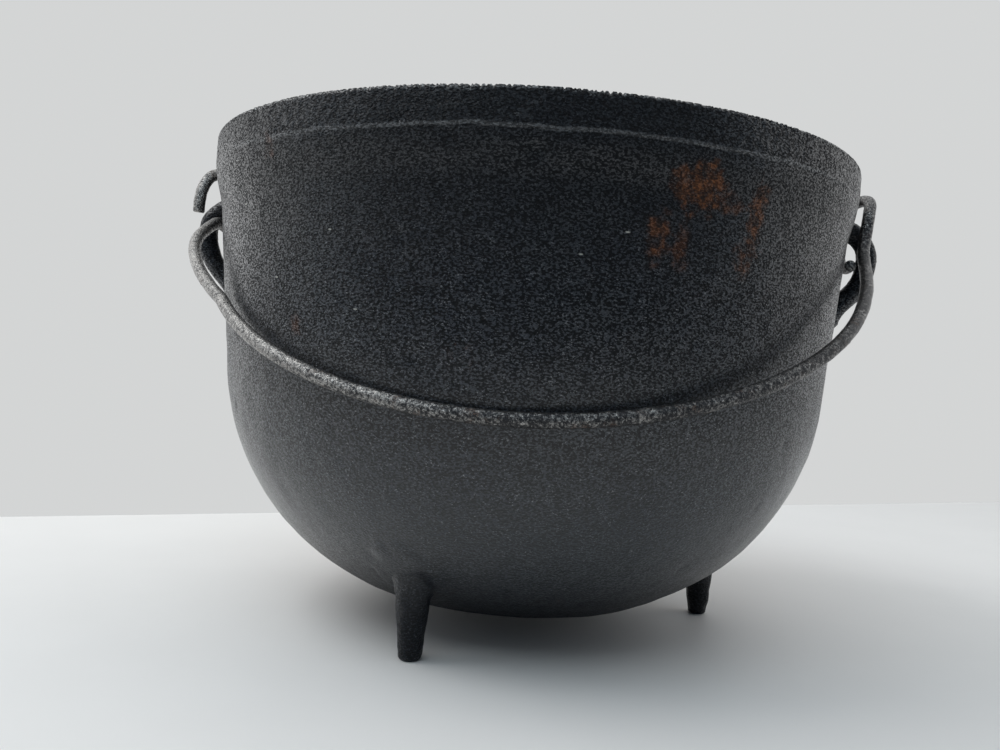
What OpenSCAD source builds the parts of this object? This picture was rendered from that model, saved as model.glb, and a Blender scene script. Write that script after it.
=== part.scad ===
// Three-legged cast-iron cauldron with a hand-bent wire bail.
// Millimetres. Z is up and the feet stand on z = 0, with the pot's axis on the Z axis.
// The ears lie on the X axis. -Y is the front, where the bail hangs against the belly.
// The pot is one casting: its rim, legs and ears are drawn as separate solids that seat
// on the shell along its true outer surface. The bail is the one loose piece.

/* [Pot] */
// Outer diameter of the rim
rim_d = 254; // [220:1:300]
// Height of the casting, from the lowest point of the bowl to the rim
pot_h = 176; // [160:1:210]
// Thickness of the cast wall
wall_t = 4.5; // [3:0.1:7]
// Outward lean of the wall, in degrees from upright
wall_taper = 4.8; // [3:0.1:7]
// Radius of the belly, where the wall turns under
belly_r = 96; // [88:1:102]
// Radius of the nearly flat bottom
bottom_r = 330; // [250:5:600]
// Gap under the lowest point of the bowl
foot_clear = 4; // [3:0.5:12]

/* [Rim] */
// Height of the thickened rim band
rim_h = 12; // [8:0.5:14]
// How far the rim band stands proud of the wall
rim_out = 1; // [0.5:0.1:2]
// Rounding of the rim's top edges
rim_round = 1.2; // [0.4:0.1:1.6]

/* [Legs] */
// How far the middle of a foot stands in from the rim's edge
leg_inset = 45; // [38:1:52]
// Direction of the right leg, in degrees from +X
leg_angle = 8.5; // [0:0.5:14]
// Diameter of a foot
foot_d = 7.8; // [7:0.1:10]
// Half angle of a leg's taper, in degrees
leg_taper = 8; // [5:0.5:10]
// Rounding of the foot's edge
foot_round = 1.4; // [0.5:0.1:2]

/* [Ears] */
// How far the right ear was set above level, and the left one below it
ear_lift = 2.6; // [0:0.1:4]
// Depth of the middle of the eye below the rim
ear_drop = 29; // [27:0.5:34]
// Thickness of the ear's bar
ear_bar_d = 8.2; // [7:0.1:9.5]
// Middle radius of the eye's upper turn
eye_r = 12; // [11:0.1:13]
// Middle radius of the long lower turn
brace_r = 22; // [20:0.5:26]
// Sweep of the lower turn, in degrees, before the brace runs straight to the wall
brace_sweep = 46; // [40:1:52]
// Thickness of the brace at the wall
brace_root_d = 11; // [9:0.5:13]

/* [Bail] */
// Diameter of the bail's wire
wire_d = 4.76; // [3.6:0.02:5.2]
// How much smaller the radius of the bail's arch is than the rim's
arch_less = 2; // [0:0.5:5]
// How much further than the rim's radius the arch reaches from the bail's axis
arch_past = 16; // [15:0.5:21]
// How far the middle of the hand-bent arch lies to the right of the pot's axis
arch_shift = 2.8; // [0:0.1:4]
// Radius of the left hook, round the ear's upper limb
left_hook_r = 11.2; // [10.5:0.1:13]
// How far the middle of the left hook lies above its limb
left_hook_up = 3; // [0:0.1:3.4]
// Radius of the right hook
right_hook_r = 13.8; // [13:0.1:14.6]
// How far the middle of the right hook lies below its limb
right_hook_down = 1.2; // [0:0.1:1.4]

/* [Clearances] */
// Gap between a hook and the rim band
rim_gap = 0.8; // [0.6:0.1:1.4]
// Gap between a hook and the outer bar of the eye
eye_gap = 1.2; // [0.9:0.1:2]
// Gap between the hanging bail and the belly
belly_gap = 0.4; // [0.3:0.1:1]

/* [Gate mark] */
// Length of the ridge left under the bowl where the iron was poured
gate_len = 62; // [40:1:80]
// Width of that ridge at its foot
gate_w = 5; // [3:0.5:8]
// How far the ridge hangs below the bowl
gate_h = 1.2; // [0.5:0.1:2]

/* [Hidden] */

iron = [0.10, 0.10, 0.11];
wire_iron = [0.16, 0.15, 0.15];
step_deg = 4.5;            // step of the turned arcs
wire_sides = 12;           // sides of the swept wire
sweep_parts = 4;           // pieces between two hand-set points of a hook
joint_swell = 0.16;        // how much thicker the ear is where two bars run together

pot_z = foot_clear;
leg_circle_r = rim_d / 2 - leg_inset;
bail_r = rim_d / 2 - arch_less;
bail_reach = rim_d / 2 + arch_past;
rim_z = foot_clear + pot_h;
band_z = rim_z - rim_h;
wall_r = rim_d / 2 - rim_out;   // outer radius of the wall, carried up to the rim's height
taper_n = [cos(wall_taper), -sin(wall_taper)];

// The belly's centre lies belly_r inside the wall's line and inside the bottom's circle.
// Its radius from the axis is belly_a + belly_b * (height above the bowl's lowest point).
belly_a = (wall_r * cos(wall_taper) - pot_h * sin(wall_taper) - belly_r) / cos(wall_taper);
belly_b = tan(wall_taper);
quad_a = belly_b * belly_b + 1;
quad_b = 2 * belly_a * belly_b - 2 * bottom_r;
quad_c = belly_a * belly_a + bottom_r * bottom_r - pow(bottom_r - belly_r, 2);
belly_h = (-quad_b - sqrt(quad_b * quad_b - 4 * quad_a * quad_c)) / (2 * quad_a);
belly_c = [belly_a + belly_b * belly_h, pot_z + belly_h];
bottom_c = [0, pot_z + bottom_r];
bottom_half = atan2(belly_c.x, bottom_c.y - belly_c.y);

// Points of an arc from angle a0 to a1
function arc(c, r, a0, a1) =
    let (n = max(2, ceil(abs(a1 - a0) / step_deg)))
    [for (i = [0 : n]) let (a = a0 + (a1 - a0) * i / n) c + r * [cos(a), sin(a)]];

// The pot's outline, inset by t, from the axis out to the end of the belly
function outline(t) = concat(
    [[0, pot_z + t]],
    [for (i = [1 : 3]) let (a = bottom_half * i / 3)
        bottom_c + (bottom_r - t) * [sin(a), -cos(a)]],
    [for (i = [1 : len(belly(t)) - 1]) belly(t)[i]]);
function belly(t) = arc(belly_c, belly_r - t, bottom_half - 90, -wall_taper);

// Radius of the wall at height z, inset by t
function wall_at(z, t) = wall_r - t / cos(wall_taper) - (rim_z - z) * tan(wall_taper);

// Height of the bowl's outer surface at radius r, on the belly
function bowl_z(r) = belly_c.y - sqrt(belly_r * belly_r - pow(r - belly_c.x, 2));

// Everything inside the outer surface of the shell and its rim band
module pot_mass() {
    rotate_extrude($fn = 180)
        polygon(concat(
            outline(0),
            [[wall_at(band_z, 0), band_z],
             [rim_d / 2, band_z + 2 * rim_out],
             [rim_d / 2, rim_z],
             [0, rim_z]]));
}

module pot_shell() {
    inner = outline(wall_t);
    color(iron) union() {
        rotate_extrude($fn = 180)
            polygon(concat(
                outline(0),
                [[wall_at(band_z, 0), band_z], [wall_at(band_z, wall_t), band_z]],
                [for (i = [len(inner) - 1 : -1 : 0]) inner[i]]));
        gate_mark();
    }
}

// A low ridge with sloping flanks and ends, on the middle of the bottom
module gate_mark() {
    root = pot_z + wall_t / 2;
    low = pot_z - gate_h;
    intersection() {
        translate([-gate_len / 2, 0, 0])
            rotate([90, 0, 90])
                linear_extrude(gate_len)
                    polygon([[-gate_w / 2, root], [gate_w / 2, root],
                             [gate_w / 4, low], [-gate_w / 4, low]]);
        translate([0, gate_w, 0])
            rotate([90, 0, 0])
                linear_extrude(2 * gate_w)
                    polygon([[-gate_len / 2, root], [gate_len / 2, root],
                             [gate_len / 2 - gate_w, low], [gate_w - gate_len / 2, low]]);
    }
}

// Thickened band that seats on the wall's top edge
module rim_band() {
    r_out = rim_d / 2;
    in_low = wall_at(band_z, wall_t);
    in_top = wall_at(rim_z, wall_t);
    color(iron)
        rotate_extrude($fn = 180)
            polygon(concat(
                [[in_low, band_z], [wall_at(band_z, 0), band_z]],
                [[r_out, band_z + 2 * rim_out]],
                arc([r_out - rim_round, rim_z - rim_round], rim_round, 0, 90),
                arc([in_top + rim_round, rim_z - rim_round], rim_round, 90, 180)));
}

// One tapered peg leg, seated on the bowl. Its top lies inside the shell's outer surface.
module leg(angle) {
    top = bowl_z(leg_circle_r + foot_d) + wall_t;
    top_r = foot_d / 2 + top * tan(leg_taper);
    color(iron) difference() {
        rotate([0, 0, angle])
            translate([leg_circle_r, 0, 0])
                rotate_extrude($fn = 48)
                    polygon(concat(
                        [[0, 0]],
                        arc([foot_d / 2 - foot_round, foot_round], foot_round, -90, 0),
                        [[top_r, top], [0, top]]));
        pot_mass();
    }
}

module leg_right() { leg(leg_angle); }
module leg_back_left() { leg(leg_angle + 120); }
module leg_front_left() { leg(leg_angle + 240); }

// The eye stands in the plane of the X and Z axes, so a hook can turn round its upper limb
wire_r = wire_d / 2;
hook_x = rim_d / 2 + rim_gap + wire_r;
ear_z = rim_z - ear_drop;
ear_out = hook_x + wire_r + eye_gap + ear_bar_d / 2;
eye_c = [ear_out - eye_r, ear_z];
brace_c = [ear_out - brace_r, ear_z];
brace_end = brace_c + brace_r * [cos(brace_sweep), -sin(brace_sweep)];
eye_start = 110;                 // where the upper turn starts, inside the wall
brace_len = (brace_end.x - wall_at(ear_z, wall_t)) / sin(brace_sweep);
axis_z = ear_z + sqrt(eye_r * eye_r - pow(hook_x - eye_c.x, 2));
axis_slope = atan2(ear_lift, hook_x);   // the bail's axis runs through both ears

// A round bar bent to an arc in the X-Z plane, from angle a0 to a1
module bent_bar(c, r, d, a0, a1) {
    translate([c.x, 0, c.y])
        rotate([90, 0, 0])
            rotate([0, 0, a0])
                rotate_extrude(angle = a1 - a0, $fn = 96)
                    translate([r, 0]) circle(d = d, $fn = 48);
}

// A ball that runs two bars together, a hair thicker than they are
module bar_joint(p) {
    translate([p.x, 0, p.y]) sphere(d = ear_bar_d + joint_swell, $fn = 48);
}

// Upper turn, longer lower turn and a thickening brace down to the wall
module ear(lift) {
    color(iron) difference() {
        translate([0, 0, lift]) union() {
            bent_bar(eye_c, eye_r, ear_bar_d, 0, eye_start);
            bar_joint([ear_out, ear_z]);
            bent_bar(brace_c, brace_r, ear_bar_d, -brace_sweep, 0);
            bar_joint(brace_end);
            translate([brace_end.x, 0, brace_end.y])
                rotate([0, 180 + brace_sweep, 0])
                    cylinder(d1 = ear_bar_d, d2 = brace_root_d, h = brace_len, $fn = 48);
        }
        pot_mass();
    }
}

module ear_right() { ear(ear_lift); }
module ear_left() { mirror([1, 0, 0]) ear(-ear_lift); }

// The arch is a part of a circle, and each arm leaves it at its own distance from the axis
left_arm_end = 80;
right_arm_end = 60;
arch_steps = 40;
arch_c = bail_reach - bail_r;
function arch_angle(reach) = acos((reach - arch_c) / bail_r);
arch_turn = arch_angle(left_arm_end) + arch_angle(right_arm_end);
arch = [for (i = [0 : arch_steps])
    let (a = arch_turn * i / arch_steps - arch_angle(left_arm_end))
    [arch_shift + bail_r * sin(a), -arch_c - bail_r * cos(a), 0]];

// Gap between the wire at the arch's point p and the pot, when the bail hangs h below level
function pot_gap(p, h) =
    let (x = p.x * cos(axis_slope) - p.y * sin(h) * sin(axis_slope),
         z = axis_z + p.y * sin(h) * cos(axis_slope) + p.x * sin(axis_slope),
         from_c = [norm([x, p.y * cos(h)]) - belly_c.x, z - belly_c.y],
         past_belly = atan2(from_c.y, from_c.x) > -wall_taper)
    (past_belly ? from_c * taper_n : norm(from_c)) - belly_r - wire_r;
function arch_gap(h) = min([for (p = arch) pot_gap(p, h)]);

// The bail hangs as low as the gap allows: the angle is found by halving the range
function settle(low, high, tries) =
    tries == 0 ? low :
    let (mid = (low + high) / 2)
    arch_gap(mid) > belly_gap ? settle(mid, high, tries - 1) : settle(low, mid, tries - 1);
hang = settle(0, 89, 22);

// A point of a hook: x outward, then radius and angle round the hook's middle, which lies
// up above the bail's axis. Angle 0 is straight down with the bail at rest, and 90 is behind.
down = 270 - hang;
function hook_pt(x, r, a, up) =
    [x, r * cos(down + a) - up * cos(down), r * sin(down + a) - up * sin(down)];

// Left hook: in through the eye, up behind the limb, over it and down in front
function left_pt(x, out, a) = hook_pt(x, left_hook_r + out, a, left_hook_up);
left_hook = concat(
    [[hook_x - 17, -70.5, 0],
     [hook_x - 8.2, -57, 0],
     [hook_x - 0.8, -42, 0],
     [hook_x + 1.8, -32, 0.1],
     [hook_x + 1.9, -23.5, 0.1],
     left_pt(hook_x + 0.9, 2, -40)],
    [for (a = [-12 : 27 : 123]) left_pt(hook_x, 0, a)],
    [left_pt(hook_x + 0.8, 0, 150),
     left_pt(hook_x + 2.8, 0, 174),
     left_pt(hook_x + 5, 0.2, 199),
     left_pt(hook_x + 6.4, 0.8, 226),
     left_pt(hook_x + 7.2, 1.4, 252),
     left_pt(hook_x + 7.6, 2, 276),
     left_pt(hook_x + 7.8, 3.2, 298)]);

// Right hook: up outside, over the limb, down behind it and out through the eye
function right_pt(x, out, a) = hook_pt(x, right_hook_r + out, a, -right_hook_down);
right_hook = concat(
    [[hook_x - 6.6, -51, 0],
     [hook_x - 4, -41, 0],
     [hook_x - 2.1, -31, 0.3],
     [hook_x - 0.7, -23, 2],
     right_pt(hook_x + 1.2, 3, -82),
     right_pt(hook_x + 2.8, 1.4, -110),
     right_pt(hook_x + 4.9, 0.4, -140),
     right_pt(hook_x + 5.2, 0, -163),
     right_pt(hook_x + 4, 0, -185),
     right_pt(hook_x + 1.8, 0, -204)],
    [for (a = [224 : 26 : 380]) right_pt(hook_x, 0, -a)]);

// A smooth curve through the points p, as pieces between each pair. The first point only
// gives the direction in which the curve starts.
function spline_at(p, i, t) =
    let (n = len(p) - 1, a = p[i - 1], b = p[i], c = p[min(n, i + 1)], d = p[min(n, i + 2)])
    0.5 * (2 * b + (c - a) * t + (2 * a - 5 * b + 4 * c - d) * t * t
           + (3 * b - a - 3 * c + d) * t * t * t);
function spline(p) = concat(
    [for (i = [1 : len(p) - 2]) for (k = [0 : sweep_parts - 1])
        spline_at(p, i, k / sweep_parts)],
    [p[len(p) - 1]]);
function flip_x(p) = [for (q = p) [-q.x, q.y, q.z]];
function reverse(p) = [for (i = [len(p) - 1 : -1 : 0]) p[i]];

right_end = spline(concat([arch[arch_steps - 1], arch[arch_steps]], right_hook));
left_end = spline(concat(flip_x([arch[1], arch[0]]), left_hook));
bail_path = concat(
    reverse(flip_x([for (i = [1 : len(left_end) - 1]) left_end[i]])),
    arch,
    [for (i = [1 : len(right_end) - 1]) right_end[i]]);

// Frames carried along the path without twist: each is turned only as the path turns
function unit(v) = v / norm(v);
function heading(p, i) = unit(p[min(i + 1, len(p) - 1)] - p[max(i - 1, 0)]);
function carried(v, h) = unit(v - (v * h) * h);
function frames(p, i, v) = i == len(p) ? [] :
    let (h = heading(p, i), n = carried(v, h)) concat([n], frames(p, i + 1, n));

// A round wire swept along the path p, with flat cut ends
module swept_wire(p, d, sides) {
    n = len(p);
    side = frames(p, 0, [0.13, 0.41, 0.9]);
    points = [for (i = [0 : n - 1]) let (h = heading(p, i), u = side[i], w = cross(h, u))
        for (k = [0 : sides - 1]) let (a = 360 * k / sides)
            p[i] + d / 2 * (cos(a) * u + sin(a) * w)];
    skin = [for (i = [0 : n - 2]) for (k = [0 : sides - 1]) let (m = (k + 1) % sides)
        [i * sides + k, (i + 1) * sides + k, (i + 1) * sides + m, i * sides + m]];
    start_cap = [for (k = [0 : sides - 1]) k];
    end_cap = [for (k = [sides - 1 : -1 : 0]) (n - 1) * sides + k];
    polyhedron(points, concat(skin, [start_cap, end_cap]));
}

module bail() {
    color(wire_iron)
        translate([0, 0, axis_z])
            rotate([0, -axis_slope, 0])
                rotate([hang, 0, 0])
                    swept_wire(bail_path, wire_d, wire_sides);
}

pot_shell();
rim_band();
leg_right();
leg_back_left();
leg_front_left();
ear_right();
ear_left();
bail();
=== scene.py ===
# %% [markdown]
# # An old three-legged cauldron
#
# A round cast-iron pot stands on three short peg legs. Two looped ears are cast on its
# wall, and a bail of plain wire hangs by two hooks that were bent round the ears by hand.
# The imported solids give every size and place. This lesson dresses them: each solid is
# replaced by a finer skin of the same form, and two finishes are mixed from noise.

# %% Load the frame and note its box
import math

import bmesh
import bpy
import numpy as np
from mathutils import Matrix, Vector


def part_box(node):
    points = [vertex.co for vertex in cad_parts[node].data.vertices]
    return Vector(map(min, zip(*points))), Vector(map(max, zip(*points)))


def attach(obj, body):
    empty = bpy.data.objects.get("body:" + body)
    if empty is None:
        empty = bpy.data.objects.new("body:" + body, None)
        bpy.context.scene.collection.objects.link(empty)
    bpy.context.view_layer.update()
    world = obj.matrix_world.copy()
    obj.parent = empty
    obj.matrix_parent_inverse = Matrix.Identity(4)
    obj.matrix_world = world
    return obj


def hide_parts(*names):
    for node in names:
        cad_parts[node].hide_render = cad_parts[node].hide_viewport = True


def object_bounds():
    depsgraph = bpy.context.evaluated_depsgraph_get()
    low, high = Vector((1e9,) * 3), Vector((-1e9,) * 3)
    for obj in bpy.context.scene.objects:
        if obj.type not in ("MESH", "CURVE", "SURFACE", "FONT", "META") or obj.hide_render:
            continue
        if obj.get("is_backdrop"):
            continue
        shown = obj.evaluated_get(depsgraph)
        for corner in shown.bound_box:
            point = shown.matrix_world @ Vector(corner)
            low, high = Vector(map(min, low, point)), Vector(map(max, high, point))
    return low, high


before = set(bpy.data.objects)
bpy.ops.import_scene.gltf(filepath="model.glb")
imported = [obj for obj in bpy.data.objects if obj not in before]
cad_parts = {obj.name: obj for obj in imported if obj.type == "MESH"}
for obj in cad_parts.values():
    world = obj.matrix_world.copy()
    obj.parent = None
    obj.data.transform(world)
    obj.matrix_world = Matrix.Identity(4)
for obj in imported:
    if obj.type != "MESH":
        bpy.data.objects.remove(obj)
cad_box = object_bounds()
print("CAD box", [[round(c, 4) for c in corner] for corner in cad_box])

MM = 0.001                       # sizes below are written in millimetres times MM
rng_seed = 7                     # every random number comes from this seed


# %% [markdown]
# ## The camera
#
# The photograph was taken from low down. The camera's focal length and place were worked
# out from the rim's ellipse and the pot's outline. The pot stands level here, so the
# camera is the one that leans. Turning the pot by `yaw`, then leaning and tipping the
# view, gives the three axes of the camera as the rows of one matrix.

# %% Camera at the photograph's viewing angle
IMAGE_W, IMAGE_H = 1000, 750
FOCAL_PX = 893                   # focal length in pixels of the photograph
yaw, lean, tip = (math.radians(a) for a in (-3.0, 3.72, 1.02))
base_centre = np.array([3.4, 376.95, -93.1]) * MM   # the bowl's low point, seen by the camera
bowl_lift = 4.0 * MM             # height of that point above the floor


def turn(axis, angle):
    """Rotation matrix about coordinate axis 0, 1 or 2, for column vectors."""
    c, s = math.cos(angle), math.sin(angle)
    i, j = [(1, 2), (2, 0), (0, 1)][axis]
    m = np.eye(3)
    m[i, i] = m[j, j] = c
    m[i, j], m[j, i] = -s, s
    return m


def stood(x_axis, y_axis, z_axis, place):
    """World matrix of an object whose own axes lie along these three, at this place."""
    m = np.eye(4)
    m[:3] = np.column_stack([x_axis, y_axis, z_axis, place])
    return Matrix(m.tolist())


view_rows = turn(0, tip) @ turn(1, lean) @ turn(2, yaw)      # right, forward, up
right_axis, forward_axis, up_axis = view_rows
camera_place = -view_rows.T @ base_centre + np.array([0, 0, bowl_lift])

camera_data = bpy.data.cameras.new("camera")
camera_data.sensor_width = 36.0
camera_data.lens = FOCAL_PX / IMAGE_W * camera_data.sensor_width
camera_data.clip_start, camera_data.clip_end = 0.01, 50
camera = bpy.data.objects.new("camera", camera_data)
bpy.context.scene.collection.objects.link(camera)
camera.matrix_world = stood(right_axis, up_axis, -forward_axis, camera_place)
bpy.context.scene.camera = camera
print("camera at", np.round(camera_place, 4), "lens", round(camera_data.lens, 2), "mm")


# %% [markdown]
# ## Surfaces from grids
#
# Every skin here is a grid of points: one direction runs along a profile, and the other
# runs round it. `skin` turns such a grid into a mesh. Rings of no width at the two ends
# close it, and their points are merged there. Whole arrays are worked out at once.

# %% A closed skin from a grid of points
WELD_GAP = 1e-7                  # points nearer than this, in metres, become one


def skin(name, points, sharp_rings=()):
    """Mesh object from points[ring, place, xyz].

    Each ring is joined to the next by quads, and its last place to its first. The points
    of the first and of the last ring are merged where they fall together. The edges of
    the rings named in sharp_rings keep a hard shading line."""
    rings, places = points.shape[:2]
    index = np.arange(rings * places).reshape(rings, places)
    ahead = np.roll(index, -1, axis=1)
    quads = np.stack([index[:-1], ahead[:-1], ahead[1:], index[1:]], axis=-1).reshape(-1, 4)
    mesh = bpy.data.meshes.new(name)
    mesh.vertices.add(rings * places)
    mesh.vertices.foreach_set("co", points.reshape(-1).astype(np.float32))
    mesh.loops.add(quads.size)
    mesh.loops.foreach_set("vertex_index", quads.reshape(-1).astype(np.int32))
    mesh.polygons.add(len(quads))
    mesh.polygons.foreach_set("loop_start", (4 * np.arange(len(quads))).astype(np.int32))
    mesh.update(calc_edges=True)
    if sharp_rings:
        ends = np.zeros(len(mesh.edges) * 2, np.int32)
        mesh.edges.foreach_get("vertices", ends)
        ring_of = ends.reshape(-1, 2) // places
        hard = np.isin(ring_of[:, 0], list(sharp_rings)) & (ring_of[:, 0] == ring_of[:, 1])
        mesh.attributes.new("sharp_edge", "BOOLEAN", "EDGE").data.foreach_set("value", hard)
    piece = bpy.data.objects.new(name, mesh)
    bpy.context.scene.collection.objects.link(piece)
    weld_poles(mesh)
    mesh.polygons.foreach_set("use_smooth", np.full(len(mesh.polygons), True))
    mesh.validate()
    triangles = sum(len(face.vertices) - 2 for face in mesh.polygons)
    print(f"{name}: {len(mesh.vertices)} points, {triangles} triangles")
    return piece


def weld_poles(mesh):
    """Merges points that lie together, so that the end rings become single points."""
    b = bmesh.new()
    b.from_mesh(mesh)
    bmesh.ops.remove_doubles(b, verts=b.verts, dist=WELD_GAP)
    b.to_mesh(mesh)
    b.free()


# %% [markdown]
# ## Unevenness of hand-cast iron
#
# Sand moulds are rammed by hand, so a casting is never quite round. A sum of plane waves
# that run in random directions gives a smooth unevenness at one chosen pitch. It depends
# only on the place in space, so two pieces that meet share it and their seam stays shut.

# %% Waves in space, and waves round a ring
WAVE_LEVEL = 0.8                 # times a sum over the root of its count, gives about -1..1


def waves(points, pitch, seed, count=24):
    """Sum of cosines of (direction . point / pitch * 2 pi + phase), scaled to about -1..1.

    The directions are spread evenly over the sphere at random, and the pitch of each
    wave differs by up to a third from the one asked for."""
    rng = np.random.default_rng(rng_seed * 1000 + seed)
    way = rng.normal(size=(count, 3))
    way /= np.linalg.norm(way, axis=1, keepdims=True)
    way *= 2 * np.pi / (pitch * rng.uniform(0.67, 1.33, (count, 1)))
    phase = rng.uniform(0, 2 * np.pi, count)
    flat = points.reshape(-1, 3)
    total = np.zeros(len(flat))
    for k in range(count):
        total += np.cos(flat @ way[k] + phase[k])
    return (total / math.sqrt(count)).reshape(points.shape[:-1]) * WAVE_LEVEL


def ring_waves(angle, low, high, seed, count=40):
    """Sum of cosines of whole-number turns between low and high, about -1..1, so that the
    pattern closes on itself round a ring."""
    rng = np.random.default_rng(rng_seed * 2000 + seed)
    turns = rng.integers(low, high + 1, count)
    phase = rng.uniform(0, 2 * np.pi, count)
    return np.cos(angle[..., None] * turns + phase).sum(-1) / math.sqrt(count) * WAVE_LEVEL


def smooth_step(x, start, end):
    """0 before start, 1 after end, and 3 t^2 - 2 t^3 between them."""
    t = np.clip((x - start) / (end - start), 0, 1)
    return t * t * (3 - 2 * t)


# %% [markdown]
# ## The pot's profile
#
# The outer line of the pot is three curves that run into each other: a nearly flat
# bottom, a round belly, and a straight wall that leans outward. The sizes are those of
# the solid, and the first print compares the curve with the solid's own box.

# %% Measures of the pot
shell_reach = float(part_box("pot_shell")[1][0])       # the solid's largest X
low_band, high_band = (np.array(c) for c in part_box("rim_band"))
RIM_R = float(high_band[0])                 # outer radius of the rim
RIM_Z = float(high_band[2])                 # height of the rim
BAND_Z = float(low_band[2])                 # height at which the rim band starts
RIM_OUT = 1.0 * MM                          # how far the band stands out at the top
WALL_R = RIM_R - RIM_OUT                    # the wall's radius, carried up to the rim
WALL_T = 4.5 * MM                           # thickness of the wall
TAPER = math.radians(4.8)                   # outward lean of the wall
BELLY_R = 96 * MM
BOTTOM_R = 330 * MM
BELLY_C = np.array([23.04, 101.137]) * MM   # centre of the belly's turn, radius and height
BOTTOM_HALF = math.radians(5.65)            # half angle of the bottom's turn
GATE_LEN, GATE_W, GATE_H = 62 * MM, 5 * MM, 1.2 * MM        # the ridge under the bowl
print("wall at the band", round((WALL_R - (RIM_Z - BAND_Z) * math.tan(TAPER)) / MM, 2),
      "mm; solid's widest", round(shell_reach / MM, 2), "mm")


def wall_radius(z, inset=0.0):
    """Radius of the leaning wall at height z, moved inward by inset."""
    return WALL_R - inset / math.cos(TAPER) - (RIM_Z - z) * math.tan(TAPER)


def bowl_height(r):
    """Height of the bowl's outer surface at radius r, on the belly's turn."""
    return BELLY_C[1] - np.sqrt(BELLY_R**2 - (r - BELLY_C[0]) ** 2)


def pot_line(inset, bottom_step, belly_step, wall_heights):
    """Points (radius, height) and outward normals along the pot, from the axis up.

    The bottom and the belly are arcs of their own radius less the inset, stepped by
    length, and the wall is a straight line at the given heights."""
    r0, r1 = BOTTOM_R - inset, BELLY_R - inset
    a = np.linspace(0, BOTTOM_HALF, max(3, round(r0 * BOTTOM_HALF / bottom_step)))
    bottom_n = np.column_stack([np.sin(a), -np.cos(a)])
    bottom = np.array([0, bowl_lift + BOTTOM_R]) + r0 * bottom_n
    b = np.linspace(BOTTOM_HALF - math.pi / 2, -TAPER,
                    round(r1 * (math.pi / 2 - TAPER - BOTTOM_HALF) / belly_step))[1:]
    belly_n = np.column_stack([np.cos(b), np.sin(b)])
    belly = BELLY_C + r1 * belly_n
    wall = np.column_stack([wall_radius(wall_heights, inset), wall_heights])
    wall_n = np.tile([math.cos(TAPER), -math.sin(TAPER)], (len(wall), 1))
    return np.vstack([bottom, belly, wall]), np.vstack([bottom_n, belly_n, wall_n])


# %% [markdown]
# ## What the mould left on the outside
#
# Four functions say how far each point of the outside moves along its normal. One holds
# the unevenness of the mould and a faint raised line a little below the rim. The others
# add pits, the low pads where the legs join with the ridge under the bowl where the iron
# was poured, and the rim band, which swells gently out of the wall instead of standing
# on it as a step.

# %% Relief of the outer surface
SWELL, RIPPLE, LUMPS = 0.28 * MM, 0.08 * MM, 0.035 * MM     # heights of three wave patterns
SLACK, BAND_SLACK = 0.10 * MM, 0.15 * MM    # how far wall and band lie inside the solids' faces
LINE_Z, LINE_H, LINE_W = BAND_Z + 0.65 * MM, 0.24 * MM, 0.60 * MM
LINE_FRONT = math.radians(-80)              # where round the pot the line is strongest
PIT_COUNT, PIT_DEPTH, PIT_WIDTH = 420, 0.45 * MM, 0.9 * MM
PAD_H, PAD_FLAT, PAD_R = 0.75 * MM, 10 * MM, 13.5 * MM      # flat to one radius, gone at the other
PAD_SHIFT, PAD_STRETCH = 3 * MM, 1.15       # a pad reaches further up the bowl's slope
leg_names = ["leg_right", "leg_back_left", "leg_front_left"]
LEG_CIRCLE = 82 * MM                        # how far a foot's middle stands from the axis
LEG_TURNS = [math.radians(8.5 + 120 * k) for k in range(3)]
LEG_AXES = np.array([[LEG_CIRCLE * math.cos(t), LEG_CIRCLE * math.sin(t)] for t in LEG_TURNS])


def on_ring(r, z, angle):
    """Points at radius r and height z, turned by angle about the Z axis."""
    r, z, angle = np.broadcast_arrays(r, z, angle)
    return np.stack([r * np.cos(angle), r * np.sin(angle), z], axis=-1)


def pits(r, z, angle):
    """Sum of round dents on the wall and belly.

    A dent is a bell curve across times a bell curve along, so the sum over all dents is
    one matrix product of the dents' spread round the pot with their spread up the pot."""
    rng = np.random.default_rng(rng_seed * 3000 + 1)
    rows = z[:, 0]
    at_z = rng.uniform(20 * MM, RIM_Z - 4 * MM, PIT_COUNT)
    at_a = rng.uniform(-math.pi, math.pi, PIT_COUNT)
    size = PIT_WIDTH * rng.uniform(0.5, 1.5, PIT_COUNT)
    deep = PIT_DEPTH * rng.uniform(0.3, 1.0, PIT_COUNT) ** 2
    at_r = np.interp(at_z, np.maximum.accumulate(rows), r[:, 0])
    gap = (angle[0][:, None] - at_a + math.pi) % (2 * math.pi) - math.pi
    around = np.exp(-0.5 * (gap * at_r / size) ** 2)
    along = np.exp(-0.5 * ((rows[:, None] - at_z) / size) ** 2)
    return (along * deep) @ around.T


def cast_relief(r, z, angle):
    """Height of the mould's unevenness and of the raised line at each point.

    The unevenness is three patterns of waves, less the slack. The line is a bell curve in
    height. It wanders up and down, breaks up, and is strongest in front."""
    p = on_ring(r, z, angle)
    lift = SWELL * waves(p, 55 * MM, 1) + RIPPLE * waves(p, 14 * MM, 2)
    lift += LUMPS * waves(p, 4.5 * MM, 3, 40) - SLACK
    facing = 0.35 + 0.65 * smooth_step(np.cos(angle - LINE_FRONT), 0.1, 0.8)
    wander = LINE_Z + 0.20 * MM * ring_waves(angle, 3, 20, 4)
    patchy = np.clip(0.55 + 0.6 * ring_waves(angle, 10, 60, 5), 0, 1)
    lift += LINE_H * facing * patchy * np.exp(-((z - wander) / LINE_W) ** 2)
    return lift


def rim_flare(z):
    """How far the rim band has swelled out beyond the leaning wall at height z."""
    band_face = RIM_R - BAND_SLACK - wall_radius(z)
    return np.clip(band_face, 0, None) * smooth_step(z, BAND_Z - 15 * MM, BAND_Z + 5 * MM)


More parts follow.
